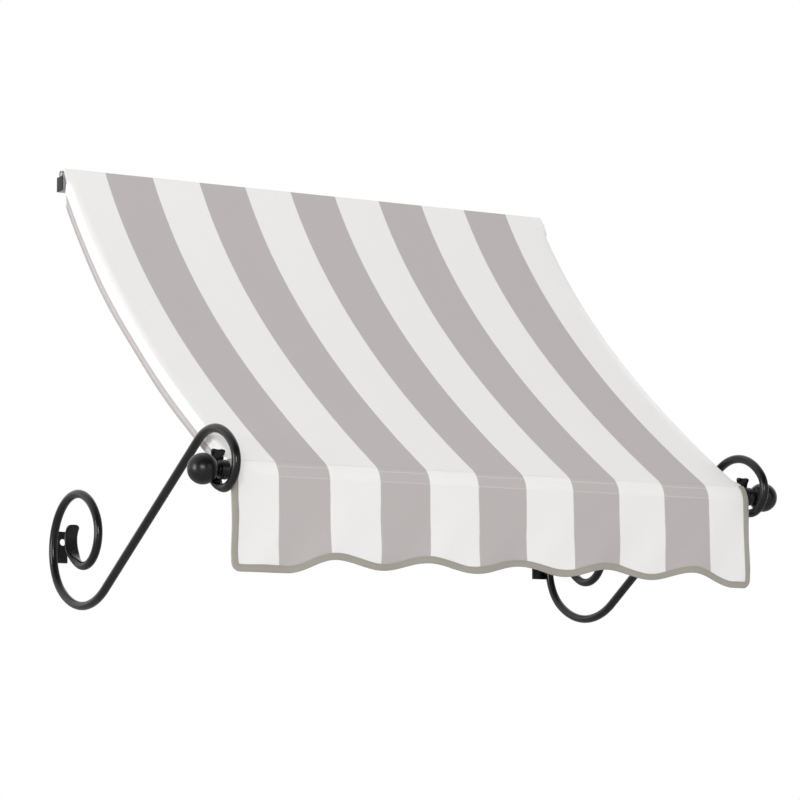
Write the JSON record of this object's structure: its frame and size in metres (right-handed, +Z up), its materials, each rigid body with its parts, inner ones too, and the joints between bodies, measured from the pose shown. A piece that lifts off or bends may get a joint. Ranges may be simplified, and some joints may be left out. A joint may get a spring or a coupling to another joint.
{
  "type": "fixed window awning",
  "caption": "Fixed window awning: striped cloth sags from a wall rail to a front bar on black scroll arms with ball ends, and a bound, wavy valance hangs below the bar.",
  "frame": {"origin": "middle of the head rail's back face, on the wall plane", "axes": "+X along the wall, +Y into the wall, +Z up; the awning stands out towards -Y"},
  "size_m": [1.1768, 0.6972, 0.7981],
  "materials": {
    "rail_aluminium": "satin extruded aluminium",
    "cap_plastic": "black moulded plastic",
    "welt": "white hem cord",
    "cloth": "woven outdoor cloth in wide white and warm grey stripes",
    "binding": "woven taupe grey tape",
    "sleeve_cloth": "white woven outdoor cloth",
    "bar_aluminium": "mill finish aluminium tube",
    "black_metal": "satin black powder coat"
  },
  "bodies": {
    "root": {"head_rail": "rail_aluminium", "rail_cap_left": "cap_plastic", "rail_cap_right": "cap_plastic", "welt_cord": "welt", "cover": "cloth", "valance": "cloth", "valance_binding": "binding", "bar_sleeve": "sleeve_cloth", "front_bar": "bar_aluminium", "bar_plug_left": "bar_aluminium", "bar_plug_right": "bar_aluminium", "hub_left": "black_metal", "hub_right": "black_metal", "finial_ball_left": "black_metal", "finial_ball_right": "black_metal", "scroll_arm_left": "black_metal", "scroll_arm_right": "black_metal", "wall_plate_left": "black_metal", "wall_plate_right": "black_metal"}
  },
  "joints": []
}
